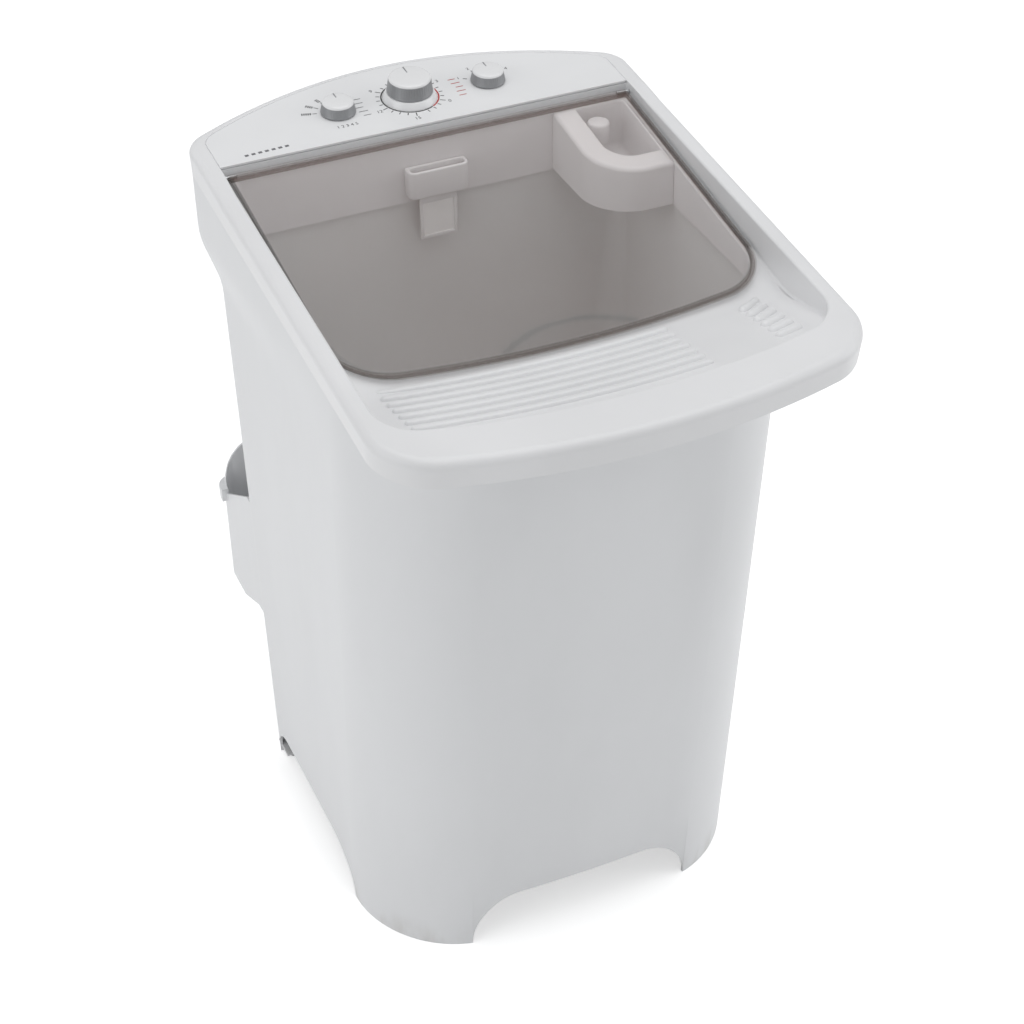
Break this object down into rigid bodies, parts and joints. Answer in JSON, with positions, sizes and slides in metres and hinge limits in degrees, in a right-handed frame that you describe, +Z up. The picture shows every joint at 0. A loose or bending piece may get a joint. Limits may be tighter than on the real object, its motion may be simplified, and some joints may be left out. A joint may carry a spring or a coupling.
{
  "type": "semi-automatic washing machine",
  "caption": "Top-loading semi-automatic washer: tapered white cabinet, sloping frame with washboard, smoked lid, arched console with knobs, agitator tub.",
  "frame": {"origin": "on the floor under the middle of the outer box", "axes": "+X to the right when facing the front, -Y the front, +Z up"},
  "size_m": [0.54, 0.7553, 0.9215],
  "materials": {
    "body_white": "satin",
    "panel_white": "gloss",
    "cap_white": "satin",
    "tub_grey": "satin",
    "mesh_grey": "matte",
    "black_rubber": "matte",
    "black_plastic": "matte",
    "zinc_steel": "satin",
    "motor_steel": "satin",
    "cast_metal": "cast",
    "bush_brass": "satin",
    "smoked_clear": "clear smoked",
    "knob_grey": "satin",
    "knob_white": "gloss"
  },
  "bodies": {
    "cabinet": {"cabinet": "body_white", "foot_pads": "black_rubber", "top_frame": "body_white", "control_panel": "panel_white", "timer_dial_ring": "panel_white", "timer_body": "zinc_steel", "left_selector_body": "black_plastic", "right_selector_body": "black_plastic", "tub": "tub_grey", "tub_screws": "zinc_steel", "dispenser_cup": "body_white", "filter_bracket": "cap_white", "water_inlet": "cap_white", "rear_cover": "zinc_steel", "cover_screws": "zinc_steel", "hose_pocket": "body_white", "pocket_screws": "zinc_steel", "drain_strainer": "cap_white", "drain_pipe": "black_plastic", "cord_gland": "black_plastic", "motor": "motor_steel", "motor_bracket": "zinc_steel", "motor_mounts": "black_rubber", "capacitor": "motor_steel", "capacitor_clip": "zinc_steel", "bearing_housing": "cast_metal", "housing_screws": "zinc_steel", "upper_bush": "bush_brass", "lower_bush": "bush_brass", "shaft_seal": "black_rubber", "drive_belt": "black_rubber"},
    "lid": {"lid": "smoked_clear", "hinge_pins": "zinc_steel"},
    "left_knob": {"left_knob": "knob_grey", "left_knob_cap": "knob_white", "left_shaft": "zinc_steel"},
    "timer_knob": {"timer_knob": "knob_grey", "timer_knob_cap": "knob_white", "timer_shaft": "zinc_steel"},
    "right_knob": {"right_knob": "knob_grey", "right_knob_cap": "knob_white", "right_shaft": "zinc_steel"},
    "agitator": {"agitator": "cap_white", "agitator_cap": "knob_grey", "agitator_shaft": "zinc_steel", "drive_pulley": "black_plastic", "pulley_nut": "zinc_steel"},
    "motor_rotor": {"motor_rotor": "zinc_steel", "motor_pulley": "cast_metal"},
    "filter": {"filter_frame": "cap_white", "filter_mesh": "mesh_grey"},
    "siphon_cap": {"siphon_cap": "cap_white"}
  },
  "joints": [
    {"name": "lid_hinge", "type": "hinge", "parent": "cabinet", "child": "lid", "pos_m": [0, 0.20408, 0.87594], "axis": [-1, 0, 0], "range_deg": [0, 107]},
    {"name": "left_knob_turn", "type": "hinge", "parent": "cabinet", "child": "left_knob", "pos_m": [-0.088, 0.27082, 0.8916], "axis": [0, 0.0767, -0.9971], "range_deg": [-60, 60]},
    {"name": "timer_knob_turn", "type": "hinge", "parent": "cabinet", "child": "timer_knob", "pos_m": [0, 0.27082, 0.8916], "axis": [0, 0.0767, -0.9971], "range_deg": [0, 330]},
    {"name": "right_knob_turn", "type": "hinge", "parent": "cabinet", "child": "right_knob", "pos_m": [0.098, 0.27082, 0.8916], "axis": [0, 0.0767, -0.9971], "range_deg": [-45, 45]},
    {"name": "agitator_spin", "type": "hinge", "parent": "cabinet", "child": "agitator", "pos_m": [0, 0.015, 0.4], "axis": [0, 0, 1], "continuous": true},
    {"name": "motor_spin", "type": "hinge", "parent": "cabinet", "child": "motor_rotor", "pos_m": [0, 0.175, 0.3], "axis": [0, 0, 1], "continuous": true},
    {"name": "filter_lift", "type": "slide", "parent": "cabinet", "child": "filter", "axis": [0, 0, 1], "range_m": [0, 0.028]},
    {"name": "siphon_cap_lift", "type": "slide", "parent": "cabinet", "child": "siphon_cap", "axis": [0, 0, 1], "range_m": [0, 0.007]}
  ],
  "couplings": [
    {"joint": "motor_spin", "follows": "agitator_spin", "ratio": 3.7468}
  ]
}
